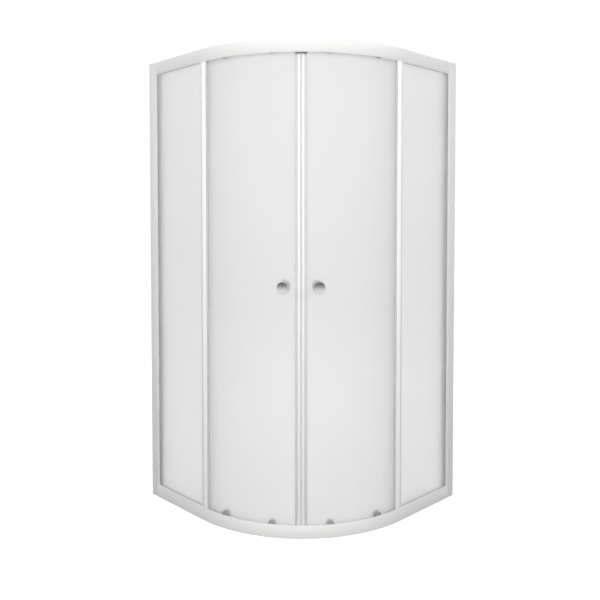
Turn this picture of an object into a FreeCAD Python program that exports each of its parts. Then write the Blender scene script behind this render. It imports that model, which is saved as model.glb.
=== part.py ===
"""Quadrant shower enclosure: two fixed panels, two curved sliding doors and their frame.

Millimetres, +Z up. The origin is the middle of the square footprint, on the floor. The walls are the planes
x = -side / 2 and y = +side / 2, and the curved corner faces +X, -Y. Everything is drawn for the left half,
and the right half is its mirror image in the upright diagonal plane x + y = 0.

Two measures place most pieces: inset, the distance inwards from the frame's outer face, and angle, in degrees
round the corner's axis from the left end of the curve to its right end.
"""
import FreeCAD, Part
import math
import os

Vector = FreeCAD.Vector

# Overall sizes
side = 895.0
corner_radius = 540.0
height = 1800.0

# Glass and its gaskets
fixed_glass_thickness = 4.0
door_glass_thickness = 4.0
gasket_thickness = 1.0
gasket_base = 2.0
gasket_show = 2.0
gasket_show_at_jamb = 4.0
gasket_show_at_post = 11.0
gasket_fit = 0.1

# Rails
rail_height = 45.0
rail_depth = 58.0
rail_wall = 2.0
fascia_foot = 4.0
lip_inset = 10.0
lip_width = 2.0
slot_depth = 15.0
slot_wall = 1.5
slot_wall_drop = 5.0
void_drop = 9.0
bottom_ledge = 23.2
top_ledge = 13.0

# Screw ports at the rail ends
port_block = 12.0
port_rib_width = 8.0
port_rib_height = 6.0
port_hole_radius = 1.7
port_hole_depth = 24.0
front_port_inset = 7.0
front_port_height = 6.5

# Wall channels and jambs
channel_width = 24.0
channel_depth = 46.0
channel_wall = 1.6
wall_hole_radius = 3.0
wall_hole_end = 150.0
wall_hole_spacing = 500.0
jamb_fit = 0.4
jamb_wall = 1.5
jamb_reach = 10.0
jamb_back_gap = 9.0
jamb_groove_depth = 9.0

# Posts
post_width = 21.0
post_before_tangent = 6.0
post_back_wall = 2.5
post_edge_round = 1.5
post_groove_depth = 8.5
post_tongue_fit = 0.4
post_cap_height = 8.0
post_strip_thickness = 1.2

# Screws
screw_radius = 1.6
screw_hole_radius = 1.8
screw_head_radius = 2.8
screw_head_height = 2.2
screw_length = 22.0
jamb_screw_length = 9.0
jamb_screw_end = 300.0
jamb_screw_count = 3
cover_radius = 5.0
cover_height = 3.6
cover_fit = 0.3
access_hole_radius = 2.95

# Doors
door_inset = 33.0
door_lead = 8.0
door_floor_gap = 1.5
meeting_gap = 0.8
part_fit = 0.1

# Magnetic meeting seals
seal_chamber = 10.0
seal_nose = 4.0
seal_leg = 10.5
seal_leg_thickness = 1.4
seal_chamber_depth = 8.0
seal_web = 1.4
magnet_width = 4.4
magnet_thickness = 4.0

# Fin seals on the leading edges
fin_leg = 11.0
fin_thickness = 1.2
fin_place = 4.0
fin_gap = 2.1

# Rollers
lead_roller_angle = 10.0
trail_roller_angle = 32.6
wheel_radius = 14.0
wheel_width = 6.5
wheel_track_gap = 0.3
axle_radius = 3.0
axle_flange_radius = 8.0
axle_flange = 3.2
axle_tail = 2.2
bush_wall = 1.5
bush_play = 0.05
wheel_side_gap = 1.2
bush_overhang = 0.3
clip_wall = 2.0
clip_thickness = 1.0
sleeve_wall = 0.8
cap_radius = 13.0
cap_height = 4.4

# Knobs
knob_angle = 37.7
knob_height = 914.0
knob_radius = 20.5
knob_stand = 31.0
knob_head = 14.0
knob_neck_radius = 9.0
knob_washer_radius = 10.0
knob_washer = 1.0
knob_screw_radius = 2.5
knob_screw_depth = 20.0
knob_hole_radius = 5.0

# Worked out from the sizes above
half = side / 2
quarter_turn = 90.0
full_turn = 360.0
bar_sides = 6
meeting_angle = quarter_turn / 2
tangent_x = -half + side - corner_radius
corner_axis = Vector(half - corner_radius, corner_radius - half, 0)
up = Vector(0, 0, 1)
mirror_normal = Vector(1, 1, 0)
jamb_face_x = -half + channel_width + jamb_reach
slot_front = lip_inset + lip_width
slot_back = slot_front + fixed_glass_thickness + 2 * gasket_thickness
slot_floor = rail_height - slot_depth
track_outer = slot_back + slot_wall
rear_port_inset = track_outer + port_rib_width / 2
rear_port_height = rail_wall + port_rib_height / 2
post_x = tangent_x - post_before_tangent
post_end_x = post_x + post_width
post_back = slot_back + post_back_wall
post_port_x = (post_x + post_groove_depth + post_end_x) / 2
post_port_inset = (slot_front + slot_back) / 2
door_back = door_inset + door_glass_thickness
door_bottom = bottom_ledge + door_floor_gap
door_top = height - top_ledge - door_floor_gap
bottom_roller_z = bottom_ledge + wheel_track_gap + wheel_radius
top_roller_z = height - top_ledge - wheel_track_gap - wheel_radius


def mirrored(shape):
    """The right-hand twin of a left-hand shape."""
    return shape.mirror(Vector(0, 0, 0), mirror_normal)


def flipped(shape):
    """A shape turned upside down about the enclosure's middle height."""
    return shape.mirror(Vector(0, 0, height / 2), up)


def both_ends(shape):
    """A shape at the foot of the enclosure and its twin at the top."""
    return [shape, flipped(shape)]


def arc_point(inset, angle, z=0):
    """A point on the curved part, at an inset, an angle and a height."""
    turn = math.radians(angle)
    reach = corner_radius - inset
    return corner_axis + Vector(reach * math.sin(turn), -reach * math.cos(turn), z)


def arc_degrees(length):
    """The angle that a length spans along the door glass."""
    return math.degrees(length / (corner_radius - door_inset))


def closed_wire(points, place):
    """A closed wire through points (a, b); a point with two more values is reached by an arc through those."""
    edges = []
    last = place(*points[-1][:2])
    for point in points:
        end = place(*point[:2])
        if len(point) > 2:
            edges.append(Part.Arc(last, place(*point[2:]), end).toShape())
        else:
            edges.append(Part.LineSegment(last, end).toShape())
        last = end
    return Part.Wire(edges)


def upright(points, low, high, place=None):
    """A prism along Z over a plan outline of (x, inset) points on the left panel."""
    if place is None:
        def place(x, inset):
            return Vector(x, -half + inset, 0)
    face = Part.Face(closed_wire(points, lambda a, b: place(a, b) + up * low))
    return face.extrude(up * (high - low))


def panel_box(x_from, x_to, inset_from, inset_to, low, high):
    """A box on the left panel."""
    corner = Vector(x_from, -half + inset_from, low)
    return Part.makeBox(x_to - x_from, inset_to - inset_from, high - low, corner)


def sector(inset_from, inset_to, angle_from, angle_to, low, high):
    """A curved plate round the corner's axis."""
    radius_in = corner_radius - inset_to
    profile = closed_wire(
        [(radius_in, low), (corner_radius - inset_from, low), (corner_radius - inset_from, high), (radius_in, high)],
        lambda reach, z: corner_axis + Vector(0, -reach, z))
    plate = Part.Face(profile).revolve(corner_axis, up, angle_to - angle_from)
    plate.rotate(corner_axis, up, angle_from)
    return plate


def turned(points):
    """A turned solid from (radius, inset) points, with its axis along Z and its inset measured up that axis."""
    profile = closed_wire(points, lambda radius, inset: Vector(radius, 0, inset))
    return Part.Face(profile).revolve(Vector(0, 0, 0), up, full_turn)


def tube(inner, outer, low, high):
    """A plain ring between two radii, as points for a turned solid."""
    return [(inner, low), (outer, low), (outer, high), (inner, high)]


def rod(radius, low, high):
    """A plain round bar along Z."""
    return turned(tube(0, radius, low, high))


def bar(radius, low, high):
    """A bar along Z with few sides, for small pins, screws and their holes, which need no round faces."""
    corners = []
    for step in range(bar_sides):
        turn = math.radians(full_turn * step / bar_sides)
        corners.append(Vector(radius * math.cos(turn), radius * math.sin(turn), low))
    return Part.Face(Part.makePolygon(corners + corners[:1])).extrude(up * (high - low))


def collar(inner, outer, low, high):
    """A ring along Z with few sides."""
    return bar(outer, low, high).cut(bar(inner, low, high))


def on_door(shape, angle, z):
    """Puts a solid made along Z on the curved part: its axis runs inwards, and its zero lies on the outer face."""
    inward = corner_axis - arc_point(0, angle)
    placed = shape.copy()
    placed.Placement = FreeCAD.Placement(arc_point(0, angle, z), FreeCAD.Rotation(up, inward))
    return placed


def roller_places():
    """Angle and height of each roller of the left door, with its name."""
    return [("top_lead", lead_roller_angle, top_roller_z), ("top_trail", trail_roller_angle, top_roller_z),
            ("bottom_lead", lead_roller_angle, bottom_roller_z), ("bottom_trail", trail_roller_angle, bottom_roller_z)]


def at_rollers(shape):
    """Copies of a solid made along Z, one at each roller of the left door."""
    return Part.makeCompound([on_door(shape, angle, z) for _, angle, z in roller_places()])


def hollow_gap(radius):
    """Room that a flat round seat needs on the hollow side of the door glass."""
    return radius ** 2 / (2 * (corner_radius - door_back)) + part_fit


def fascia_arc(offset):
    """A function that gives the inset of the fascia's curve, offset inwards, at a height."""
    rise = rail_height - fascia_foot
    radius = (rise ** 2 + lip_inset ** 2) / (2 * lip_inset)

    def inset_at(z):
        return radius - math.sqrt((radius - offset) ** 2 - (z - fascia_foot) ** 2)
    return inset_at


def rail_section(ledge, place):
    """The rail's section: fascia, slot for the fixed glass and the ledge that the wheels run on."""
    outer_at = fascia_arc(0)
    inner_at = fascia_arc(rail_wall)
    slot_wall_top = rail_height - slot_wall_drop
    middle = (fascia_foot + rail_height) / 2
    outline = [(0, 0), (0, fascia_foot), (lip_inset, rail_height, outer_at(middle), middle),
               (slot_front, rail_height), (slot_front, slot_floor), (slot_back, slot_floor),
               (slot_back, slot_wall_top), (track_outer, slot_wall_top), (track_outer, ledge),
               (rail_depth, ledge), (rail_depth, 0)]
    void_top = rail_height - void_drop
    shelf_under = slot_floor - rail_wall
    fascia_void = [(inner_at(port_block), port_block), (inner_at(void_top), void_top),
                   (slot_front - slot_wall, void_top), (slot_front - slot_wall, shelf_under),
                   (slot_back, shelf_under), (slot_back, rail_wall),
                   (port_block, rail_wall), (port_block, port_block)]
    rib_side = track_outer + port_rib_width
    rib_top = rail_wall + port_rib_height
    ledge_under = ledge - rail_wall
    ledge_void = [(rib_side, rail_wall), (rail_depth - rail_wall, rail_wall), (rail_depth - rail_wall, ledge_under),
                  (track_outer, ledge_under), (track_outer, rib_top), (rib_side, rib_top)]
    wires = [closed_wire(points, place) for points in (outline, fascia_void, ledge_void)]
    return Part.Face(wires[0]).cut([Part.Face(wire) for wire in wires[1:]]).Faces[0]


def rail_ports():
    """Inset and height of the two screw ports in a rail's end."""
    return [(front_port_inset, front_port_height), (rear_port_inset, rear_port_height)]


def along_panel(shape, start_x, inset, z):
    """Lays a solid made along Z along the left panel, pointing away from the wall."""
    placed = shape.copy()
    placed.Placement = FreeCAD.Placement(Vector(start_x, -half + inset, z), FreeCAD.Rotation(up, Vector(1, 0, 0)))
    return placed


def bottom_rail(ledge):
    """The bent rail, standing on the floor: straight, quarter bend, straight."""
    def place(inset, z):
        return Vector(jamb_face_x, -half + inset, z)
    section = rail_section(ledge, place)
    straight = section.extrude(Vector(tangent_x - jamb_face_x, 0, 0))
    for inset, z in rail_ports():
        straight = straight.cut(along_panel(bar(port_hole_radius, 0, port_hole_depth), jamb_face_x, inset, z))
    straight = straight.cut(post_screw_holes())
    bend_section = section.copy()
    bend_section.translate(Vector(tangent_x - jamb_face_x, 0, 0))
    bend = bend_section.revolve(corner_axis, up, quarter_turn)
    bend = bend.cut(post_screw_holes())
    bend = bend.cut(mirrored(post_screw_holes()))
    return straight.fuse([bend, mirrored(straight)]).removeSplitter()


def on_panel(shape, x, inset):
    """Stands a solid made along Z on the left panel."""
    placed = shape.copy()
    placed.translate(Vector(x, -half + inset, 0))
    return placed


def post_screw_holes():
    """Access hole in the rail's floor and screw hole in its slot shelf."""
    access = bar(access_hole_radius, -rail_wall, 2 * rail_wall)
    shelf = bar(screw_hole_radius, slot_floor - 2 * rail_wall, slot_floor + rail_wall)
    return on_panel(Part.makeCompound([access, shelf]), post_port_x, post_port_inset)


def screw(length):
    """Screw along Z: the head's seat is at zero, and the shank runs up."""
    return bar(screw_head_radius, -screw_head_height, 0).fuse(bar(screw_radius, 0, length)).removeSplitter()


def wall_channel():
    """U-shaped channel that is screwed to the wall, open towards the panel."""
    back = -half + channel_wall
    mouth = -half + channel_width
    inner = channel_depth - channel_wall
    outline = [(-half, 0), (mouth, 0), (mouth, channel_wall), (back, channel_wall),
               (back, inner), (mouth, inner), (mouth, channel_depth), (-half, channel_depth)]
    channel = upright(outline, 0, height)
    hole = rod(wall_hole_radius, -channel_wall, 2 * channel_wall)
    for z in (wall_hole_end, (height - wall_hole_spacing) / 2):
        channel = channel.cut(both_ends(along_panel(hole, -half, channel_depth / 2, z)))
    return channel.cut(jamb_screw_cutters())


def jamb():
    """C-shaped stile in the wall channel, with a groove for the fixed glass in its face."""
    rear = -half + jamb_back_gap
    face = jamb_face_x
    front = channel_wall + jamb_fit
    back = channel_depth - channel_wall - jamb_fit
    groove = face - jamb_groove_depth
    outline = [(rear, front), (face, front), (face, slot_front), (groove, slot_front), (groove, slot_back),
               (face, slot_back), (face, back), (rear, back), (rear, back - jamb_wall),
               (face - jamb_wall, back - jamb_wall), (face - jamb_wall, track_outer),
               (groove - jamb_wall, track_outer), (groove - jamb_wall, slot_front - jamb_wall),
               (face - jamb_wall, slot_front - jamb_wall), (face - jamb_wall, front + jamb_wall),
               (rear, front + jamb_wall)]
    stile = upright(outline, 0, height)
    for inset, z in rail_ports():
        hole = along_panel(bar(screw_hole_radius, -2 * jamb_wall, jamb_wall), face, inset, z)
        stile = stile.cut(both_ends(hole))
    return stile.cut(jamb_screw_cutters())


def rail_screws():
    """Screws through the jamb's face into the rail's ports, at all four rail ends."""
    screws = []
    for inset, z in rail_ports():
        screws += both_ends(along_panel(screw(screw_length), jamb_face_x - jamb_wall, inset, z))
    return screws


def jamb_screw_places():
    """Heights of the screws that fix the jamb in the wall channel."""
    spacing = (height - 2 * jamb_screw_end) / (jamb_screw_count - 1)
    return [jamb_screw_end + spacing * step for step in range(jamb_screw_count)]


def on_channel_flank(shape):
    """Copies of a solid made along Z on the channel's inner flank, at the jamb screws, pointing outwards."""
    outward = FreeCAD.Rotation(up, Vector(0, -1, 0))
    x = -half + (jamb_back_gap + channel_width) / 2
    solids = []
    for z in jamb_screw_places():
        solid = shape.copy()
        solid.Placement = FreeCAD.Placement(Vector(x, -half + channel_depth, z), outward)
        solids.append(solid)
    return solids


def jamb_screw_cutters():
    """Holes for the jamb screws through the channel's flank and the jamb."""
    depth = channel_wall + jamb_fit + 2 * jamb_wall
    return on_channel_flank(bar(screw_hole_radius, -channel_wall, depth))


def screw_cover():
    """Push-on cover over a jamb screw's head."""
    room_height = screw_head_height + cover_fit
    return bar(cover_radius, -cover_height, 0).cut(bar(screw_head_radius + cover_fit, -room_height, 0))


def fixed_glass_box(grow_edge, grow_face):
    """The fixed pane's box, grown past its edges and faces."""
    inset = slot_front + gasket_thickness
    return panel_box(jamb_face_x - jamb_groove_depth + gasket_base - grow_edge,
                     post_x + post_groove_depth - gasket_base + grow_edge,
                     inset - grow_face, inset + fixed_glass_thickness + grow_face,
                     slot_floor + gasket_base - grow_edge, height - slot_floor - gasket_base + grow_edge)


def fixed_gasket():
    """Grey gasket round the pane's edge, U-shaped in section, showing a little outside its grooves."""
    outer = fixed_glass_box(gasket_base - gasket_fit, gasket_thickness - gasket_fit)
    window = panel_box(jamb_face_x + gasket_show_at_jamb, post_x - gasket_show_at_post, 0, rail_depth,
                       rail_height + gasket_show, height - rail_height - gasket_show)
    return outer.cut([fixed_glass_box(0, 0), window])


def post_stretch(low, high):
    """A stretch of the post's section: rounded face, and a groove for the glass in its side."""
    groove_end = post_x + post_groove_depth
    near, far = lip_inset + post_edge_round, post_end_x - post_edge_round
    corner = post_edge_round * (1 - math.cos(math.radians(meeting_angle)))
    outline = [(post_x, near), (post_x + post_edge_round, lip_inset, post_x + corner, lip_inset + corner),
               (far, lip_inset), (post_end_x, near, post_end_x - corner, lip_inset + corner),
               (post_end_x, post_back), (post_x, post_back), (post_x, slot_back), (groove_end, slot_back),
               (groove_end, slot_front), (post_x, slot_front)]
    return upright(outline, low, high)


def post_tongue(grow):
    """The post's core, which runs on into each rail's slot, grown sideways."""
    return panel_box(post_x + post_groove_depth, post_end_x - post_edge_round + grow,
                     slot_front + post_tongue_fit - grow, slot_back - post_tongue_fit + grow,
                     slot_floor + post_tongue_fit, height - slot_floor - post_tongue_fit)


def post():
    """Upright at the pane's free edge, with a screw port and a tongue into each rail's slot."""
    end = rail_height + post_cap_height
    body = post_stretch(end, height - end)
    port = on_panel(bar(port_hole_radius, 0, height), post_port_x, post_port_inset)
    return body.fuse(post_tongue(0)).removeSplitter().cut(port)


def post_end_cap():
    """Plastic piece round the post's tongue, between the post and the bottom rail's lip."""
    return post_stretch(rail_height, rail_height + post_cap_height).cut(post_tongue(part_fit))


def post_strip():
    """Soft grey strip on the post's free side, where the open door's knob stops."""
    return panel_box(post_end_x, post_end_x + post_strip_thickness, lip_inset + post_edge_round, post_back,
                     rail_height, height - rail_height)


def post_screws():
    """Screws up through the bottom rail's shelf and down through the top rail's into the post."""
    low = on_panel(screw(screw_length), post_port_x, post_port_inset)
    low.translate(up * (slot_floor - rail_wall))
    return both_ends(low)


def lead_angle():
    """Angle of the door glass's edge behind the post."""
    return -arc_degrees(door_lead)


def trail_angle():
    """Angle of the door glass's edge in the meeting seal."""
    return meeting_angle - arc_degrees(meeting_gap / 2 + seal_chamber + seal_web + part_fit)


def door_glass():
    """Curved pane with holes for its rollers and knob."""
    pane = sector(door_inset, door_back, lead_angle(), trail_angle(), door_bottom, door_top)
    hole = bar(axle_radius + part_fit + sleeve_wall + part_fit, 0, rail_depth)
    holes = [on_door(hole, angle, z) for _, angle, z in roller_places()]
    holes.append(at_knob(bar(knob_hole_radius, 0, rail_depth)))
    return pane.cut(holes)


def seal_place(along, inset):
    """A plan point by its distance from the meeting line, square to the diagonal."""
    turn = math.radians(meeting_angle)
    return arc_point(inset, meeting_angle) - Vector(math.cos(turn), math.sin(turn), 0) * along


def clip_legs(angle_from, angle_to):
    """The two legs of a push-on seal, one each side of the door glass."""
    outer = door_inset - part_fit
    inner = door_back + part_fit
    return [sector(outer - seal_leg_thickness, outer, angle_from, angle_to, door_bottom, door_top),
            sector(inner, inner + seal_leg_thickness, angle_from, angle_to, door_bottom, door_top)]


def magnet_box(grow):
    """The magnet strip's prism in the meeting seal, grown for its chamber."""
    middle = (door_inset + door_back) / 2
    start = meeting_gap / 2 + seal_nose + (seal_chamber - seal_nose - magnet_width) / 2
    near, far = start - grow, start + magnet_width + grow
    low, high = middle - magnet_thickness / 2 - grow, middle + magnet_thickness / 2 + grow
    return upright([(near, low), (far, low), (far, high), (near, high)], door_bottom, door_top, seal_place)


def magnet_seal():
    """Meeting seal: round-nosed magnet chamber and a clip over the glass edge."""
    middle = (door_inset + door_back) / 2
    near, far = middle - seal_chamber_depth / 2, middle + seal_chamber_depth / 2
    tip = meeting_gap / 2
    end = tip + seal_chamber + seal_web
    outline = [(end, near), (tip + seal_nose, near), (tip + seal_nose, far, tip, middle), (end, far)]
    body = upright(outline, door_bottom, door_top, seal_place)
    start = meeting_angle - arc_degrees(end + seal_leg)
    legs = clip_legs(start, meeting_angle - arc_degrees(end - seal_web / 2))
    return body.fuse(legs).removeSplitter().cut(magnet_box(part_fit))


def edge_seal():
    """Seal on the leading edge: a clip over the glass and a fin that closes the gap to the post."""
    edge = lead_angle()
    outer = door_inset - part_fit
    web_near = outer - seal_leg_thickness
    web_far = door_back + part_fit + seal_leg_thickness
    web_from = edge - arc_degrees(part_fit + seal_web)
    web = sector(web_near, web_far, web_from, edge - arc_degrees(part_fit), door_bottom, door_top)
    legs = clip_legs(web_from, edge + arc_degrees(fin_leg))
    fin_from = edge + arc_degrees(fin_place)
    fin = sector(post_back + fin_gap, outer - seal_leg_thickness / 2, fin_from, fin_from + arc_degrees(fin_thickness),
                 door_bottom, door_top)
    return web.fuse(legs + [fin]).removeSplitter()


def axle_seat():
    """Inset of the axle's flange, on the hollow side of the glass."""
    return door_back + hollow_gap(axle_flange_radius)


def wheel_sides():
    """Insets of the wheel's two side faces."""
    near = axle_seat() + axle_flange + wheel_side_gap
    return near, near + wheel_width


def roller_cap():
    """Cap over the roller's axle, outside the glass."""
    return rod(cap_radius, door_inset - cap_height, door_inset)


def roller_axle():
    """Flanged pin from the cap through the glass to the wheel."""
    seat = axle_seat()
    end = wheel_sides()[1] + bush_overhang + part_fit + clip_thickness + axle_tail
    pin = bar(axle_radius, door_inset, end)
    return pin.fuse(bar(axle_flange_radius, seat, seat + axle_flange)).removeSplitter()


def roller_bush():
    """Plain bearing on the axle."""
    low = axle_seat() + axle_flange + part_fit
    high = wheel_sides()[1] + bush_overhang
    return rod(axle_radius + bush_wall, low, high).cut(bar(axle_radius + part_fit / 2, low, high))


def roller_clip():
    """Retaining ring behind the wheel."""
    low = wheel_sides()[1] + bush_overhang + part_fit
    return collar(axle_radius + part_fit / 2, axle_radius + bush_wall + clip_wall, low, low + clip_thickness)


def roller_sleeve():
    """Plastic sleeve between the axle and the glass hole."""
    inner = axle_radius + part_fit
    return collar(inner, inner + sleeve_wall, door_inset, door_back)


def roller_wheel():
    """Nylon wheel with a plain bore and a flat tread."""
    near, far = wheel_sides()
    return turned(tube(axle_radius + bush_wall + bush_play, wheel_radius, near, far))


def knob(seat, inward):
    """A round knob on one face of the door glass: neck and wide head.

    inward is 1 for the knob inside the enclosure and -1 for the one outside.
    """
    def at(distance):
        return seat + inward * distance
    head = knob_stand - knob_head
    body = turned([(0, at(0)), (knob_neck_radius, at(0)), (knob_neck_radius, at(head)), (knob_radius, at(head)),
                   (knob_radius, at(knob_stand)), (0, at(knob_stand))])
    return body.cut(bar(knob_screw_radius + part_fit, *sorted((at(0), at(knob_screw_depth)))))


def at_knob(shape):
    """Puts a solid made along Z on the knob's axis."""
    return on_door(shape, knob_angle, knob_height)


def knob_seats():
    """Insets of the two knobs' necks, outside and inside the glass."""
    return door_inset - knob_washer, door_back + hollow_gap(knob_washer_radius) + knob_washer


def knob_washers():
    """Clear washers between the knobs and the glass."""
    outer, inner = knob_seats()
    hole = knob_screw_radius + part_fit
    return Part.makeCompound([at_knob(collar(hole, knob_washer_radius, outer, door_inset)),
                              at_knob(collar(hole, knob_washer_radius, inner - knob_washer, inner))])


def knob_screw():
    """Threaded rod that pulls the two knobs together through the glass."""
    outer, inner = knob_seats()
    return bar(knob_screw_radius, outer - knob_screw_depth + part_fit, inner + knob_screw_depth - part_fit)


def door_pieces():
    """All pieces of the left door by name."""
    outer, inner = knob_seats()
    pieces = {
        "door_glass": door_glass(),
        "magnet_seal": magnet_seal(),
        "magnet_strip": magnet_box(0),
        "edge_seal": edge_seal(),
        "knob_outside": at_knob(knob(outer, -1)),
        "knob_inside": at_knob(knob(inner, 1)),
        "knob_washers": knob_washers(),
        "knob_screw": at_knob(knob_screw()),
        "roller_caps": at_rollers(roller_cap()),
        "roller_axles": at_rollers(roller_axle()),
        "roller_bushes": at_rollers(roller_bush()),
        "roller_clips": at_rollers(roller_clip()),
        "roller_sleeves": at_rollers(roller_sleeve()),
    }
    for name, angle, z in roller_places():
        pieces["roller_wheel_" + name] = on_door(roller_wheel(), angle, z)
    return pieces


def side_pieces():
    """Left-hand pieces that have a mirrored twin with its own name."""
    pieces = {
        "wall_channel": wall_channel(),
        "jamb": jamb(),
        "fixed_glass": fixed_glass_box(0, 0),
        "fixed_gasket": fixed_gasket(),
        "post": post(),
        "post_strip": post_strip(),
    }
    pieces.update(door_pieces())
    return pieces


def pair_group(solids):
    """Like solids of both halves in one piece."""
    return Part.makeCompound(solids + [mirrored(solid) for solid in solids])


def save(name, shape):
    """Writes one piece to its own file."""
    shape.exportStep("parts/" + name + ".step")


def main():
    """Builds and saves every piece."""
    os.makedirs("parts", exist_ok=True)
    save("bottom_rail", bottom_rail(bottom_ledge))
    save("top_rail", flipped(bottom_rail(top_ledge)))
    for name, shape in side_pieces().items():
        save(name + "_left", shape)
        save(name + "_right", mirrored(shape))
    save("rail_screws", pair_group(rail_screws()))
    save("post_screws", pair_group(post_screws()))
    save("post_end_caps", pair_group(both_ends(post_end_cap())))
    save("jamb_screws", pair_group(on_channel_flank(screw(jamb_screw_length))))
    save("jamb_screw_covers", pair_group(on_channel_flank(screw_cover())))


main()
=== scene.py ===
"""Quadrant shower enclosure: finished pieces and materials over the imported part.

Metres, +Z up, in the part's own frame. The walls are at -X and +Y, and the curved corner faces +X, -Y.
Pieces are drawn for the left half and mirrored in the upright plane x + y = 0. Inset is the distance
inwards from the frame's outer face, and angle runs round the corner, in radians, from the left end of
the curve.
"""
import math

import bmesh
import bpy
from bpy.props import FloatProperty, FloatVectorProperty, IntProperty, PointerProperty
from mathutils import Matrix, Vector


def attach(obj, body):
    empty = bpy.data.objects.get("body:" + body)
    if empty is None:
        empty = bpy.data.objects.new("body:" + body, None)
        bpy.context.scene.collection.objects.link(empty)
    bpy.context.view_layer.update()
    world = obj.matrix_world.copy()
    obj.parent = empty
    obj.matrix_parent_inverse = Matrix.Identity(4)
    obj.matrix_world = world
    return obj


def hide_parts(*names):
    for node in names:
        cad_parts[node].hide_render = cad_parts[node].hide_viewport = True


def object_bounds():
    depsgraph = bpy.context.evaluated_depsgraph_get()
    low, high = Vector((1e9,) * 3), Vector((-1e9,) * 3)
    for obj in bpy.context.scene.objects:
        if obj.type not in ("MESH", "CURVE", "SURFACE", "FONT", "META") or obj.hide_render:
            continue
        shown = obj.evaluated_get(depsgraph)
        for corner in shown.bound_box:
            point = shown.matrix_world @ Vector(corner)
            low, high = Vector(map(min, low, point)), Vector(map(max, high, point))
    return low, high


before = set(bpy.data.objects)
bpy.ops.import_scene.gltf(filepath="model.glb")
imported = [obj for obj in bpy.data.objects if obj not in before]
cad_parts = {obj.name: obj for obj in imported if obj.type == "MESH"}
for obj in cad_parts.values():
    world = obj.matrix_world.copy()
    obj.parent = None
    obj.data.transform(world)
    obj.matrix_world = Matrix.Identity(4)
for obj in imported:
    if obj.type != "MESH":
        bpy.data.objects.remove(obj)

bl_info = {
    "name": "Quadrant Shower Enclosure",
    "version": (1, 0, 0),
    "blender": (4, 5, 0),
    "location": "View3D > Sidebar > Shower",
    "description": "Rails, panes, seals, rollers, knobs and finishes of a corner shower enclosure",
    "category": "Add Mesh",
}

CAD_LOW, CAD_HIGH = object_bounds()
SIDES = ("left", "right")
UP = Vector((0, 0, 1))
# Turns the left half into the right one
MIRROR = Matrix(((0, -1, 0, 0), (-1, 0, 0, 0), (0, 0, 1, 0), (0, 0, 0, 1)))
QUARTER = math.pi / 2
# Angle of the line where the doors meet
MEETING = QUARTER / 2
# Points nearer to each other than this are one, in metres
MERGE = 1e-6
# Faces that turn by less than the first angle are one, and by more than the second have a sharp edge
FLAT = math.radians(1)
SHARP = math.radians(32)
# Facets across a rounded edge
EDGE_STEPS = 3


def mm(value):
    """Millimetres as metres."""
    return value / 1000


def linear(hex_colour):
    """A linear colour from an sRGB hex value."""
    parts = [int(hex_colour[start:start + 2], 16) / 255 for start in (1, 3, 5)]
    return tuple(p / 12.92 if p <= 0.04045 else ((p + 0.055) / 1.055) ** 2.4 for p in parts)


def length(name, text, value):
    """A length property, from millimetres."""
    return FloatProperty(name=name, description=text, default=mm(value), min=0, unit="LENGTH")


def colour(name, text, hex_colour):
    """A colour property, from an sRGB hex value."""
    return FloatVectorProperty(name=name, description=text, default=linear(hex_colour), subtype="COLOR",
                               min=0, max=1)


def bearing(name, text, degrees):
    """An angle property, from degrees."""
    return FloatProperty(name=name, description=text, default=math.radians(degrees), subtype="ANGLE")


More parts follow.
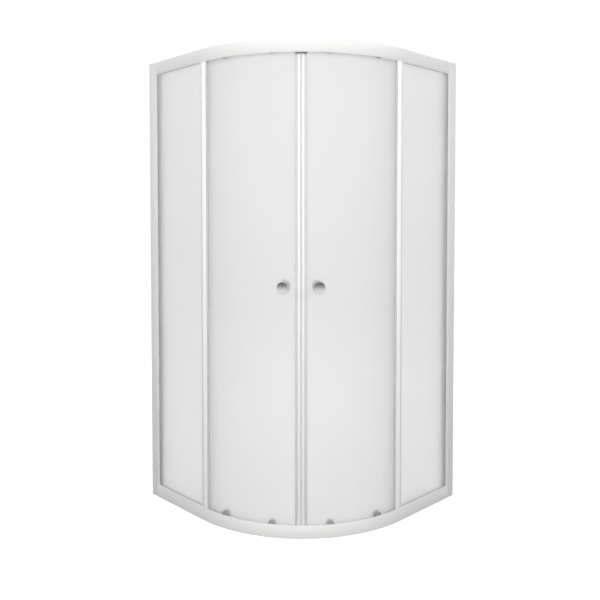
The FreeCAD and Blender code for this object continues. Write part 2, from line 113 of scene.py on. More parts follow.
class ShowerSizes(bpy.types.PropertyGroup):
    """Sizes of the enclosure's pieces"""
    corner_radius: length("Corner radius", "Radius of the frame's outer face round the corner", 540)
    rail_height: length("Rail height", "Height of each rail's face", 45)
    rail_depth: length("Rail depth", "Depth of each rail", 58)
    fascia_foot: length("Face foot", "Upright strip at the rail's outer edge", 4)
    lip_inset: length("Lip inset", "How far the rail's face leans in", 10)
    lip_width: length("Lip width", "Width of the lip in front of the fixed pane", 2)
    slot_back: length("Slot back", "Inset of the glass slot's rear wall", 18)
    slot_floor: length("Slot floor", "Height of the glass slot's floor", 30)
    slot_wall: length("Slot wall", "Thickness of the slot's rear wall", 1.5)
    slot_wall_top: length("Slot wall top", "Height of the slot's rear wall", 40)
    bottom_ledge: length("Bottom ledge", "Height of the lower wheels' track", 23.2)
    top_ledge: length("Top ledge", "Depth of the upper wheels' track under the top", 13)
    rail_start: length("Rail start", "Distance of the rail's end from the wall", 34)
    rail_round: length("Rail edge", "Rounding of the rail's edges", 0.7)
    upright_round: length("Upright edge", "Rounding of the channels', jambs' and posts' edges", 0.5)
    gasket_round: length("Gasket edge", "Rounding of the gaskets' edges", 0.3)
    door_inset: length("Door inset", "Inset of the door glass's outer face", 33)
    door_glass: length("Door glass", "Thickness of the door glass", 4)
    door_gap: length("Door gap", "Room between the door and the tracks", 1.5)
    door_lead: length("Door lead", "Length of door glass behind the post", 8)
    door_trail: length("Door trail", "Distance of the door glass's edge from the meeting line", 11.9)
    glass_arris: length("Glass arris", "Ground edge of the glass", 0.5)
    meeting_gap: length("Meeting gap", "Gap between the meeting seals", 0.8)
    seal_depth: length("Seal depth", "Depth of the meeting seal's chamber", 8)
    seal_end: length("Seal end", "Distance of the chamber's end from the meeting line", 11.8)
    seal_nose: length("Seal nose", "Distance of the soft nose's end from the meeting line", 4.8)
    magnet_start: length("Magnet start", "Distance of the magnet strip from the meeting line", 5.2)
    magnet_width: length("Magnet width", "Width of the magnet strip", 4.4)
    magnet_depth: length("Magnet depth", "Depth of the magnet strip", 4)
    seal_leg: length("Seal leg", "Thickness of a seal's clip leg", 1.4)
    seal_reach: length("Seal reach", "Distance of the meeting seal's legs from the meeting line", 22.3)
    fin_reach: length("Fin seal reach", "Length of the fin seal's legs over the glass", 11)
    fin_front: length("Fin front", "Inset of the fin's tip", 22.6)
    wheel_radius: length("Wheel radius", "Radius of the roller wheels", 14)
    wheel_near: length("Wheel near side", "Inset of the wheel's outer side", 41.564)
    wheel_width: length("Wheel width", "Width of the roller wheels", 6.5)
    wheel_room: length("Wheel room", "Room between wheel and track", 0.3)
    axle_radius: length("Axle radius", "Radius of the roller's axle", 3)
    axle_flange: length("Axle flange", "Radius of the axle's flange", 8)
    bush_radius: length("Bush radius", "Outer radius of the plain bearing", 4.5)
    cap_radius: length("Cap radius", "Radius of the roller caps", 13)
    cap_height: length("Cap height", "Height of the roller caps", 4.4)
    lead_angle: bearing("Lead roller", "Angle of the rollers near the post", 10.0)
    trail_angle: bearing("Trail roller", "Angle of the rollers near the meeting line", 32.6)
    knob_angle: bearing("Knob angle", "Angle of the knobs", 37.7)
    knob_height: length("Knob height", "Height of the knobs", 914)
    knob_radius: length("Knob radius", "Radius of the knob's head", 20.5)
    knob_neck: length("Knob neck", "Radius of the knob's neck", 9)
    knob_stand: length("Knob stand", "How far the knob stands off the washer", 31)
    knob_head: length("Knob head", "Depth of the knob's head", 14)
    knob_round: length("Knob edge", "Rounding of the knob's rim", 2.6)
    knob_crown: length("Knob crown", "Height of the dome on the knob's face", 3.6)
    knob_hole: length("Knob hole", "Radius of the hole in the glass behind a knob", 5)
    cover_radius: length("Cover radius", "Radius of the screw covers", 5)
    cover_height: length("Cover height", "Height of the screw covers", 3.6)
    cover_place: length("Cover place", "Distance of the screw covers from the wall", 16.5)
    channel_depth: length("Channel depth", "Depth of the wall channel", 46)
    cover_end: length("Cover end", "Distance of the end covers from floor and top", 300)
    bend_steps: IntProperty(name="Bend steps", description="Facets round the corner", default=96, min=8)
    turn_steps: IntProperty(name="Turn steps", description="Facets round a turned piece", default=48, min=8)


class ShowerColours(bpy.types.PropertyGroup):
    """Colours of the finishes"""
    # One white powder coat in three tones: the posts' lighter tone is a painted highlight, and the darker
    # tones of the rails and of the channels and jambs are painted shade
    paint: colour("Rail paint", "White powder coat of the rails", "#E1E1E0")
    post_paint: colour("Post paint", "White powder coat of the posts", "#FBFBFA")
    channel_paint: colour("Channel paint", "White powder coat of the wall channels and jambs", "#E0E0DF")
    # One frosted glass in two tones: the doors' darker tone is painted shade, and the fixed panes' lighter
    # tone is painted light
    glass: colour("Door glass", "Frosted glass of the doors", "#E7E7E7")
    flat_glass: colour("Flat glass", "Frosted glass of the fixed panes", "#F1F1F1")
    gasket: colour("Gasket", "Grey glazing gasket", "#DCDDDE")
    buffer: colour("Buffer", "Soft strips on the posts", "#CFCFCF")
    seal: colour("Seal", "White seal", "#E9E9E8")
    # Darker than the white seal: painted shade of the groove where the two noses meet
    nose: colour("Seal nose", "Soft noses of the meeting seals", "#D3D5D5")
    clear_seal: colour("Clear seal", "Clear legs of the meeting seals, and the knobs' washers", "#E8EAEA")
    clear_fin: colour("Clear fin", "Clear seals of the leading edges", "#FBFCFC")
    chrome: colour("Chrome", "Chrome plating", "#E0E1E2")
    steel: colour("Steel", "Stainless steel", "#DADCDE")
    cap: colour("Cap", "Grey roller caps", "#A0A2A3")
    acetal: colour("Acetal", "Bushes and sleeves", "#E9E8E3")
    nylon: colour("Nylon", "Roller wheels", "#F1F0EC")
    plastic: colour("Plastic", "White moulded pieces", "#F6F7F7")
    magnet: colour("Magnet", "Magnet strips", "#2B2B2C")
    floor: colour("Floor", "Studio floor", "#707070")


def add_node(tree, kind, inputs, **settings):
    """Adds a node, with its settings and its inputs, which are values or sockets to link."""
    node = tree.nodes.new(kind)
    for name, value in settings.items():
        setattr(node, name, value)
    for name, value in inputs.items():
        if isinstance(value, bpy.types.NodeSocket):
            tree.links.new(value, node.inputs[name])
        else:
            node.inputs[name].default_value = value
    return node


def new_material(name):
    """An empty node material, with its tree and a node for its object coordinates."""
    material = bpy.data.materials.new(name)
    material.use_nodes = True
    tree = material.node_tree
    tree.nodes.clear()
    place = add_node(tree, "ShaderNodeTexCoord", {}).outputs["Object"]
    return material, tree, place


def shade(tree, inputs):
    """Adds the surface shader and the output."""
    surface = add_node(tree, "ShaderNodeBsdfPrincipled", inputs)
    add_node(tree, "ShaderNodeOutputMaterial", {"Surface": surface.outputs["BSDF"]})


def tinted(rgb, factor):
    """A colour made lighter or darker, with an alpha."""
    return tuple(min(part * factor, 1.0) for part in rgb) + (1.0,)


def powder_coat(name, rgb):
    """White powder coat on aluminium: satin, with the faint orange peel of baked powder.

    The peel is about 1.5 mm across in reality, and is drawn 5 mm wide so that it shows.
    """
    material, tree, place = new_material(name)
    peel = add_node(tree, "ShaderNodeTexNoise", {"Vector": place, "Scale": 1 / mm(5), "Detail": 2.0})
    cloud = add_node(tree, "ShaderNodeTexNoise", {"Vector": place, "Scale": 1 / mm(160), "Detail": 3.0})
    tone = add_node(tree, "ShaderNodeMix", {"Factor": cloud.outputs["Fac"], "A": tinted(rgb, 0.985),
                                            "B": tinted(rgb, 1.01)}, data_type="RGBA")
    gloss = add_node(tree, "ShaderNodeMapRange", {"Value": peel.outputs["Fac"], "To Min": 0.36,
                                                  "To Max": 0.46})
    bump = add_node(tree, "ShaderNodeBump", {"Height": peel.outputs["Fac"], "Strength": 0.25,
                                             "Distance": mm(0.06)})
    shade(tree, {"Base Color": tone.outputs["Result"], "Roughness": gloss.outputs["Result"],
                 "Normal": bump.outputs["Normal"], "IOR": 1.5})
    return material


def frosted_glass(name, rgb):
    """Acid-etched safety glass: light passes as a soft glow, and the etched face has a fine even grain.

    The etch is far under a millimetre in reality, and is drawn 3 mm wide so that it shows.
    """
    material, tree, place = new_material(name)
    etch = add_node(tree, "ShaderNodeTexNoise", {"Vector": place, "Scale": 1 / mm(3), "Detail": 3.0})
    cloud = add_node(tree, "ShaderNodeTexNoise", {"Vector": place, "Scale": 1 / mm(240), "Detail": 2.0})
    tone = add_node(tree, "ShaderNodeMix", {"Factor": cloud.outputs["Fac"], "A": tinted(rgb, 0.985),
                                            "B": tinted(rgb, 1.0)}, data_type="RGBA")
    gloss = add_node(tree, "ShaderNodeMapRange", {"Value": etch.outputs["Fac"], "To Min": 0.38,
                                                  "To Max": 0.46})
    bump = add_node(tree, "ShaderNodeBump", {"Height": etch.outputs["Fac"], "Strength": 0.2,
                                             "Distance": mm(0.05)})
    shade(tree, {"Base Color": tone.outputs["Result"], "Roughness": gloss.outputs["Result"],
                 "Normal": bump.outputs["Normal"], "IOR": 1.5, "Transmission Weight": 0.8})
    return material


def moulded(name, rgb, roughness, grain, depth, extra=None):
    """A moulded or extruded plastic: one colour that drifts a little, with a fine skin.

    Grain and depth of the skin are in millimetres, coarser than in reality so that it shows.
    """
    material, tree, place = new_material(name)
    skin = add_node(tree, "ShaderNodeTexNoise", {"Vector": place, "Scale": 1 / mm(grain), "Detail": 2.0})
    tone = add_node(tree, "ShaderNodeMix", {"Factor": skin.outputs["Fac"], "A": tinted(rgb, 0.96),
                                            "B": tinted(rgb, 1.03)}, data_type="RGBA")
    gloss = add_node(tree, "ShaderNodeMapRange", {"Value": skin.outputs["Fac"], "To Min": roughness - 0.05,
                                                  "To Max": roughness + 0.05})
    bump = add_node(tree, "ShaderNodeBump", {"Height": skin.outputs["Fac"], "Strength": 0.3,
                                             "Distance": mm(depth)})
    inputs = {"Base Color": tone.outputs["Result"], "Roughness": gloss.outputs["Result"],
              "Normal": bump.outputs["Normal"]}
    inputs.update(extra or {})
    shade(tree, inputs)
    return material


def plated(name, rgb, low, high, grain):
    """A bright metal, with the faint uneven gloss that polishing leaves.

    Its roughness runs from low to high, and its grain is in millimetres.
    """
    material, tree, place = new_material(name)
    polish = add_node(tree, "ShaderNodeTexNoise", {"Vector": place, "Scale": 1 / mm(grain), "Detail": 3.0})
    tone = add_node(tree, "ShaderNodeMix", {"Factor": polish.outputs["Fac"], "A": tinted(rgb, 0.95),
                                            "B": tinted(rgb, 1.04)}, data_type="RGBA")
    gloss = add_node(tree, "ShaderNodeMapRange", {"Value": polish.outputs["Fac"], "To Min": low,
                                                  "To Max": high})
    shade(tree, {"Base Color": tone.outputs["Result"], "Roughness": gloss.outputs["Result"],
                 "Metallic": 1.0})
    return material


# Each slot's finish: its name, for the real material, the function that makes it, its colour, and the
# function's other values
FINISHES = {
    # The same powder coat in three tones: a painted highlight on the posts, painted shade on the rails,
    # channels and jambs
    "white_aluminium": ("powder_coated_rails", powder_coat, "paint"),
    "white_post_painted_highlight": ("powder_coated_posts", powder_coat, "post_paint"),
    "white_channel_painted_shade": ("powder_coated_channels", powder_coat, "channel_paint"),
    # The same frosted glass in two tones: painted shade on the doors, painted light on the fixed panes
    "frosted_glass": ("frosted_bent_glass", frosted_glass, "glass"),
    "flat_glass": ("frosted_flat_glass", frosted_glass, "flat_glass"),
    # Extruded rubber, dull with a drawn skin
    "grey_gasket": ("extruded_grey_gasket", moulded, "gasket", 0.6, 6, 0.05),
    # Co-extruded soft PVC, satin
    "white_seal": ("white_pvc_seal", moulded, "seal", 0.4, 8, 0.03),
    # Grey PVC of the rounded noses, darker than the white seal: painted shade of the groove where the two
    # noses meet
    "nose_painted_shade": ("soft_grey_pvc", moulded, "nose", 0.5, 8, 0.03),
    # The seals' clear legs let the glass show through
    "clear_seal": ("clear_pvc_seal", moulded, "clear_seal", 0.3, 8, 0.03, {"Transmission Weight": 0.35}),
    # Clearer soft PVC of the leading edges
    "clear_fin": ("clear_soft_pvc", moulded, "clear_fin", 0.35, 8, 0.03, {"Alpha": 0.25}),
    # Pale foamed rubber, matt
    "post_buffer": ("foamed_rubber_buffer", moulded, "buffer", 0.65, 5, 0.05),
    # Ferrite powder in rubber, nearly black
    "magnet": ("ferrite_rubber", moulded, "magnet", 0.7, 3, 0.05),
    # Chrome on die-cast zinc, polished
    "chrome": ("polished_chrome", plated, "chrome", 0.12, 0.18, 9),
    # Clear soft washers
    "washer": ("clear_soft_washer", moulded, "clear_seal", 0.35, 4, 0.02, {"Transmission Weight": 0.5}),
    # Turned stainless steel, bead-blasted
    "steel": ("blasted_stainless_steel", plated, "steel", 0.42, 0.54, 2),
    # Satin moulded ABS
    "grey_cap": ("moulded_grey_abs", moulded, "cap", 0.42, 3, 0.03),
    # Moulded acetal, off-white and waxy
    "acetal": ("moulded_acetal", moulded, "acetal", 0.4, 3, 0.02),
    # Natural nylon, milky and translucent
    "nylon": ("moulded_nylon", moulded, "nylon", 0.45, 3, 0.03, {"Transmission Weight": 0.9}),
    # Glossy moulded ABS
    "white_plastic": ("white_moulded_abs", moulded, "plastic", 0.25, 4, 0.02),
}


def finish(context, slot):
    """The material of a slot, made at its first use."""
    name, make, tone, *values = FINISHES[slot]
    material = bpy.data.materials.get(name)
    if material is None:
        material = make(name, getattr(context.scene.shower_colours, tone), *values)
    return material


def paint_nodes(context, slot, *names):
    """Gives carried-over nodes the material of a slot."""
    for name in names:
        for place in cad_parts[name].material_slots:
            place.material = finish(context, slot)


def both(name):
    """The names of a piece's left and right twins."""
    return [name + "_" + side for side in SIDES]


def corner_axis(s):
    """Foot of the corner's upright axis."""
    return Vector((CAD_HIGH.x - s.corner_radius, CAD_LOW.y + s.corner_radius, 0))


def arc_point(s, inset, angle, z=0):
    """A point on the curved part."""
    reach = s.corner_radius - inset
    return corner_axis(s) + Vector((reach * math.sin(angle), -reach * math.cos(angle), z))


def along_door(s, distance):
    """The angle that a length spans along the door glass."""
    return distance / (s.corner_radius - s.door_inset)


def from_meeting(s, distance):
    """The angle at a distance from the meeting line."""
    return MEETING - along_door(s, distance)


def on_door(s, angle, z):
    """Places a piece turned about Z on the curved part, with its axis running inwards from the outer face."""
    inward = (corner_axis(s) - arc_point(s, 0, angle)).normalized()
    across = inward.cross(UP)
    turn = Matrix((UP, across, inward)).transposed().to_4x4()
    return Matrix.Translation(arc_point(s, 0, angle, z)) @ turn


def rectangle(first, last, low, high):
    """Corners of a plain section."""
    return [(first, low), (last, low), (last, high), (first, high)]


def wire(bm, points, closed=True):
    """Edges through points."""
    verts = [bm.verts.new(point) for point in points]
    ends = verts[1:] + verts[:1] if closed else verts[1:]
    return [bm.edges.new(pair) for pair in zip(verts, ends)]


def round_corners(bm, radius, segments=EDGE_STEPS, keep=None):
    """Rounds the corners of the wires in a mesh, apart from those that keep names."""
    verts = [vert for vert in bm.verts if keep is None or not keep(vert.co)]
    bmesh.ops.bevel(bm, geom=verts, offset=radius, offset_type="OFFSET", affect="VERTICES",
                    segments=segments, profile=0.5, material=-1, clamp_overlap=True)


def pull(bm, edges, move):
    """Extrudes edges along a straight line, and returns the far ones."""
    made = bmesh.ops.extrude_edge_only(bm, edges=edges)["geom"]
    verts = [item for item in made if isinstance(item, bmesh.types.BMVert)]
    bmesh.ops.translate(bm, verts=verts, vec=move)
    far = set(verts)
    return [item for item in made if isinstance(item, bmesh.types.BMEdge) and far.issuperset(item.verts)]


def swing(bm, edges, centre, axis, angle, steps):
    """Spins edges round an axis, and returns the far ones."""
    verts = {vert for edge in edges for vert in edge.verts}
    made = bmesh.ops.spin(bm, geom=list(verts) + list(edges), cent=centre, axis=axis, angle=angle,
                          steps=steps, use_merge=False, use_duplicate=False)["geom_last"]
    return [item for item in made if isinstance(item, bmesh.types.BMEdge)]


def turned(points, rounding, steps, closed=False, from_radius=MERGE, segments=EDGE_STEPS):
    """A piece turned about Z from (radius, inset) points: an outline that ends on the axis, or a ring.

    Its corners outside a radius are rounded.
    """
    bm = bmesh.new()
    wire(bm, [(radius, 0, inset) for radius, inset in points], closed)
    if rounding:
        round_corners(bm, rounding, segments, lambda place: place.x < from_radius)
    bmesh.ops.spin(bm, geom=bm.verts[:] + bm.edges[:], cent=(0, 0, 0), axis=UP, angle=2 * math.pi,
                   steps=steps, use_merge=True, use_duplicate=False)
    return bm


def joined(shapes):
    """Several meshes as one."""
    whole = bmesh.new()
    for bm in shapes:
        mesh = bpy.data.meshes.new("joining")
        bm.to_mesh(mesh)
        bm.free()
        whole.from_mesh(mesh)
        bpy.data.meshes.remove(mesh)
    return whole


def moved(bm, matrix):
    """A mesh put in its place."""
    bmesh.ops.transform(bm, matrix=matrix, verts=bm.verts[:])
    return bm


def edged(name, radius):
    """A copy of a node's mesh, merged into whole faces, with its sharp edges rounded."""
    bm = bmesh.new()
    bm.from_mesh(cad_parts[name].data)
    bmesh.ops.remove_doubles(bm, verts=bm.verts[:], dist=MERGE)
    bmesh.ops.dissolve_limit(bm, angle_limit=FLAT, use_dissolve_boundaries=False, verts=bm.verts[:],
                             edges=bm.edges[:])
    sharp = [edge for edge in bm.edges if edge.is_manifold and edge.calc_face_angle() > SHARP]
    bmesh.ops.bevel(bm, geom=sharp, offset=radius, offset_type="OFFSET", affect="EDGES",
                    segments=EDGE_STEPS, profile=0.5, material=-1, clamp_overlap=True)
    return bm


def drilled(context, blank, drill):
    """A mesh with another one cut out of it."""
    shapes = []
    for name, bm in (("blank", blank), ("drill", drill)):
        bmesh.ops.remove_doubles(bm, verts=bm.verts[:], dist=MERGE)
        bmesh.ops.recalc_face_normals(bm, faces=bm.faces[:])
        mesh = bpy.data.meshes.new(name)
        bm.to_mesh(mesh)
        bm.free()
        shapes.append(bpy.data.objects.new(name, mesh))
        context.scene.collection.objects.link(shapes[-1])
    holes = shapes[0].modifiers.new("holes", "BOOLEAN")
    holes.operation = "DIFFERENCE"
    holes.solver = "EXACT"
    holes.object = shapes[1]
    cut = bmesh.new()
    cut.from_object(shapes[0], context.evaluated_depsgraph_get())
    for shape in shapes:
        bpy.data.meshes.remove(shape.data)
    return cut


def add_piece(context, bm, name, slot, body, replaced=(), mirror=False):
    """Makes a finished object of a mesh, on its body, in place of the nodes that it stands for."""
    if mirror:
        moved(bm, MIRROR)
    bmesh.ops.remove_doubles(bm, verts=bm.verts[:], dist=MERGE)
    bmesh.ops.recalc_face_normals(bm, faces=bm.faces[:])
    mesh = bpy.data.meshes.new(name)
    bm.to_mesh(mesh)
    bm.free()
    mesh.polygons.foreach_set("use_smooth", [True] * len(mesh.polygons))
    mesh.set_sharp_from_angle(angle=SHARP)
    mesh.materials.append(finish(context, slot))
    piece = bpy.data.objects.new(name, mesh)
    context.scene.collection.objects.link(piece)
    # Keeps wide faces flat beside their narrow rounded edges
    piece.modifiers.new("even_shading", "WEIGHTED_NORMAL").keep_sharp = True
    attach(piece, body)
    if replaced:
        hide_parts(*replaced)


def add_on_door(context, side, bm, name, slot, node=None):
    """Adds a piece, drawn for the left door, to the door of a side, in place of that door's node."""
    replaced = [node + "_" + side] if node else ()
    add_piece(context, bm, name + "_" + side, slot, "door_" + side, replaced, mirror=side == "right")


def add_edged(context, node, name, slot, radius):
    """Adds a piece of the frame: a node's own shape with rounded edges, in place of that node."""
    add_piece(context, edged(node, radius), name, slot, "root", [node])


def add_edged_pair(context, node, name, slot, radius):
    """Adds the left and right twins of such a piece."""
    for twin, twin_name in zip(both(node), both(name)):
        add_edged(context, twin, twin_name, slot, radius)


def rail_shape(s, ledge, upper):
    """A bent rail: straight, quarter bend, straight, with its glass slot and wheel track."""
    face_steps = 10
    join = mm(0.05)
    bm = bmesh.new()
    front = CAD_LOW.y
    start = CAD_LOW.x + s.rail_start
    bend = corner_axis(s).x
    slot_front = s.lip_inset + s.lip_width
    track = s.slot_back + s.slot_wall
    rise = s.rail_height - s.fascia_foot
    face_radius = (rise ** 2 + s.lip_inset ** 2) / (2 * s.lip_inset)
    face_turn = math.asin(rise / face_radius)
    section = [(s.lip_inset, s.rail_height), (slot_front, s.rail_height), (slot_front, s.slot_floor),
               (s.slot_back, s.slot_floor), (s.slot_back, s.slot_wall_top), (track, s.slot_wall_top),
               (track, ledge), (s.rail_depth, ledge), (s.rail_depth, 0), (0, 0), (0, s.fascia_foot)]
    wire(bm, [(start, front + inset, z) for inset, z in section], closed=False)
    round_corners(bm, s.rail_round, keep=lambda place: place.z == s.fascia_foot)
    # The face curves inwards from the upper end of the strip at its foot
    foot_place = Vector((start, front, s.fascia_foot))
    foot = min(bm.verts, key=lambda vert: (vert.co - foot_place).length)
    bmesh.ops.spin(bm, geom=[foot], cent=(start, front + face_radius, s.fascia_foot), axis=(-1, 0, 0),
                   angle=face_turn, steps=face_steps, use_duplicate=False)
    bmesh.ops.remove_doubles(bm, verts=bm.verts[:], dist=join)
    first = bm.edges[:]
    second = pull(bm, first, Vector((bend - start, 0, 0)))
    third = swing(bm, second, corner_axis(s), UP, QUARTER, s.bend_steps)
    last = pull(bm, third, Vector((0, bend - start, 0)))
    for loop in (first, last):
        bmesh.ops.contextual_create(bm, geom=loop)
    if upper:
        bmesh.ops.scale(bm, vec=(1, 1, -1), verts=bm.verts[:])
        bmesh.ops.translate(bm, vec=UP * CAD_HIGH.z, verts=bm.verts[:])
    return bm


class SHOWER_OT_rails(bpy.types.Operator):
    """Adds the two bent rails"""
    bl_idname = "shower.rails"
    bl_label = "Rails"

    def execute(self, context):
        s = context.scene.shower_sizes
        for node, ledge, upper in (("bottom_rail", s.bottom_ledge, False), ("top_rail", s.top_ledge, True)):
            add_piece(context, rail_shape(s, ledge, upper), node + "_profile", "white_aluminium", "root",
                      [node])
        return {"FINISHED"}


class SHOWER_OT_uprights(bpy.types.Operator):
    """Adds the wall channels, jambs and posts, and the posts' buffers and end pieces"""
    bl_idname = "shower.uprights"
    bl_label = "Uprights"

    def execute(self, context):
        s = context.scene.shower_sizes
        # The channels and jambs take the coat's darker tone, painted shade, and the posts its lighter tone, a
        # painted highlight
        add_edged_pair(context, "wall_channel", "channel_extrusion", "white_channel_painted_shade", s.upright_round)
        add_edged_pair(context, "jamb", "jamb_extrusion", "white_channel_painted_shade", s.upright_round)
        add_edged_pair(context, "post", "post_extrusion", "white_post_painted_highlight", s.upright_round)
        add_edged_pair(context, "post_strip", "post_buffer", "post_buffer", s.gasket_round)
        add_edged(context, "post_end_caps", "post_end_plugs", "white_plastic", s.upright_round)
        return {"FINISHED"}


class SHOWER_OT_fixed_panes(bpy.types.Operator):
    """Adds the fixed panes and their gaskets"""
    bl_idname = "shower.fixed_panes"
    bl_label = "Fixed panes"

    def execute(self, context):
        s = context.scene.shower_sizes
        add_edged_pair(context, "fixed_glass", "flat_pane", "flat_glass", s.glass_arris)
        add_edged_pair(context, "fixed_gasket", "pane_gasket", "grey_gasket", s.gasket_round)
        return {"FINISHED"}


def door_heights(s):
    """Lowest and highest point of a door."""
    return s.bottom_ledge + s.door_gap, CAD_HIGH.z - s.top_ledge - s.door_gap


def roller_heights(s):
    """Heights of the lower and upper rollers."""
    lift = s.wheel_room + s.wheel_radius
    return {"bottom": s.bottom_ledge + lift, "top": CAD_HIGH.z - s.top_ledge - lift}


def pane_holes(s):
    """Angle, height and radius of the holes for the rollers' sleeves and the knob's screw."""
    sleeve_hole = s.axle_radius + mm(1)
    angles = (s.lead_angle, s.trail_angle)
    holes = [(angle, z, sleeve_hole) for angle in angles for z in roller_heights(s).values()]
    return holes + [(s.knob_angle, s.knob_height, s.knob_hole)]


def pane_drills(s):
    """A drill for each hole of a door pane."""
    low = s.door_inset - s.door_glass
    high = s.door_inset + 2 * s.door_glass
    drills = []
    for angle, z, radius in pane_holes(s):
        outline = [(0, low), (radius, low), (radius, high), (0, high)]
        drills.append(moved(turned(outline, 0, s.turn_steps // 2), on_door(s, angle, z)))
    return drills


def door_pane(s):
    """A curved door pane with ground edges."""
    row_share = 1.8
    bm = bmesh.new()
    low, high = door_heights(s)
    near = s.door_inset
    far = s.door_inset + s.door_glass
    begin = -along_door(s, s.door_lead)
    end = from_meeting(s, s.door_trail)
    corners = ((near, low), (near, high), (far, high), (far, low))
    wire(bm, [arc_point(s, inset, begin, z) for inset, z in corners])
    round_corners(bm, s.glass_arris)
    first = bm.edges[:]
    last = swing(bm, first, corner_axis(s), UP, end - begin, s.bend_steps // 2)
    for loop in (first, last):
        bmesh.ops.contextual_create(bm, geom=loop)
    # Short rows of faces round the holes keep the rest of the pane whole
    levels = {z + way * radius * row_share for _, z, radius in pane_holes(s) for way in (-1, 1)}
    for level in sorted(levels):
        bmesh.ops.bisect_plane(bm, geom=bm.verts[:] + bm.edges[:] + bm.faces[:], dist=MERGE,
                               plane_co=UP * level, plane_no=UP)
    return bm


class SHOWER_OT_door_panes(bpy.types.Operator):
    """Adds the curved door panes"""
    bl_idname = "shower.door_panes"
    bl_label = "Door panes"

    def execute(self, context):
        s = context.scene.shower_sizes
        for side in SIDES:
            pane = drilled(context, door_pane(s), joined(pane_drills(s)))
            add_on_door(context, side, pane, "door_pane", "frosted_glass", "door_glass")
        return {"FINISHED"}


# Room between a seal and what it holds
SEAL_FIT = mm(0.1)


def seal_strip(s, points, rounding, segments=EDGE_STEPS, keep=None, room=()):
    """An extruded strip of a door's height, from (angle, inset) points, with a room of such points inside."""
    bm = bmesh.new()
    low, high = door_heights(s)
    wire(bm, [arc_point(s, inset, angle, low) for angle, inset in points])
    round_corners(bm, rounding, segments, keep)
    first = bm.edges[:]
    if room:
        first += wire(bm, [arc_point(s, inset, angle, low) for angle, inset in room])
    last = pull(bm, first, UP * (high - low))
    for loop in (first, last):
        if room:
            bmesh.ops.bridge_loops(bm, edges=loop)
        else:
            bmesh.ops.contextual_create(bm, geom=loop)
    return bm


def seal_faces(s, depth):
    """Insets of the two faces of a strip in the middle of the door's thickness."""
    middle = s.door_inset + s.door_glass / 2
    return middle - depth / 2, middle + depth / 2


def meeting_nose(s):
    """The soft round nose of a meeting seal."""
    # A little under half the depth, so that the two rounded corners don't meet
    rounding = s.seal_depth / 2 * 0.98
    corner_room = mm(1)
    near, far = seal_faces(s, s.seal_depth)
    tip, end = from_meeting(s, s.meeting_gap / 2), from_meeting(s, s.seal_nose)
    corners = [arc_point(s, inset, tip) for inset in (near, far)]

    def square(place):
        return min((place.xy - corner.xy).length for corner in corners) > corner_room
    return seal_strip(s, rectangle(end, tip, near, far), rounding, segments=6, keep=square)


def meeting_chamber(s):
    """The stiff chamber of a meeting seal, with room for the magnet strip."""
    near, far = seal_faces(s, s.seal_depth)
    low, high = seal_faces(s, s.magnet_depth + 2 * SEAL_FIT)
    tip, end = from_meeting(s, s.seal_nose), from_meeting(s, s.seal_end)
    start = from_meeting(s, s.magnet_start - SEAL_FIT)
    stop = from_meeting(s, s.magnet_start + s.magnet_width + SEAL_FIT)
    return seal_strip(s, rectangle(end, tip, near, far), rounding=mm(0.3),
                      room=rectangle(stop, start, low, high))


def meeting_legs(s):
    """The clear legs of a meeting seal, one each side of the glass."""
    start, end = from_meeting(s, s.seal_reach), from_meeting(s, s.seal_end - SEAL_FIT)
    shapes = []
    for near in (s.door_inset - SEAL_FIT - s.seal_leg, s.door_inset + s.door_glass + SEAL_FIT):
        leg = rectangle(start, end, near, near + s.seal_leg)
        shapes.append(seal_strip(s, leg, rounding=mm(0.4)))
    return joined(shapes)


def fin_seal(s):
    """The leading edge's seal: a clip over the glass, and a fin towards the post."""
    web = mm(1.4)
    fin = mm(1.2)
    fin_place = mm(4.0)
    edge = -along_door(s, s.door_lead)
    outer = s.door_inset - SEAL_FIT
    inner = s.door_inset + s.door_glass + SEAL_FIT
    points = [(-SEAL_FIT - web, outer - s.seal_leg), (fin_place, outer - s.seal_leg),
              (fin_place, s.fin_front), (fin_place + fin, s.fin_front),
              (fin_place + fin, outer - s.seal_leg), (s.fin_reach, outer - s.seal_leg),
              (s.fin_reach, outer), (-SEAL_FIT, outer), (-SEAL_FIT, inner), (s.fin_reach, inner),
              (s.fin_reach, inner + s.seal_leg), (-SEAL_FIT - web, inner + s.seal_leg)]
    return seal_strip(s, [(edge + along_door(s, distance), inset) for distance, inset in points],
                      rounding=mm(0.35))


class SHOWER_OT_seals(bpy.types.Operator):
    """Adds the meeting seals and the leading edges' seals, and finishes the magnets"""
    bl_idname = "shower.seals"
    bl_label = "Seals"

    def execute(self, context):
        s = context.scene.shower_sizes
        for side in SIDES:
            add_on_door(context, side, meeting_chamber(s), "meeting_seal", "white_seal", "magnet_seal")
            add_on_door(context, side, meeting_nose(s), "meeting_nose", "nose_painted_shade")
            add_on_door(context, side, meeting_legs(s), "meeting_seal_legs", "clear_seal")
            add_on_door(context, side, fin_seal(s), "fin_seal", "clear_fin", "edge_seal")
        paint_nodes(context, "magnet", *both("magnet_strip"))
        return {"FINISHED"}


def knob_shape(s, seat, inward):
    """A turned knob: neck, wide head with a rolled rim, and a domed face."""
    dome_shares = (1, 0.75, 0.6, 0.45, 0.3, 0.15, 0)
    rolled_share = 0.9
    head = s.knob_stand - s.knob_head
    rim = s.knob_radius
    dome = [(share * rim, s.knob_stand - s.knob_crown * share ** 2) for share in dome_shares]
    points = [(0, 0), (s.knob_neck, 0), (s.knob_neck, head), (rim, head)] + dome
    return turned([(radius, seat + inward * along) for radius, along in points], s.knob_round,
                  s.turn_steps, from_radius=rim * rolled_share, segments=5)


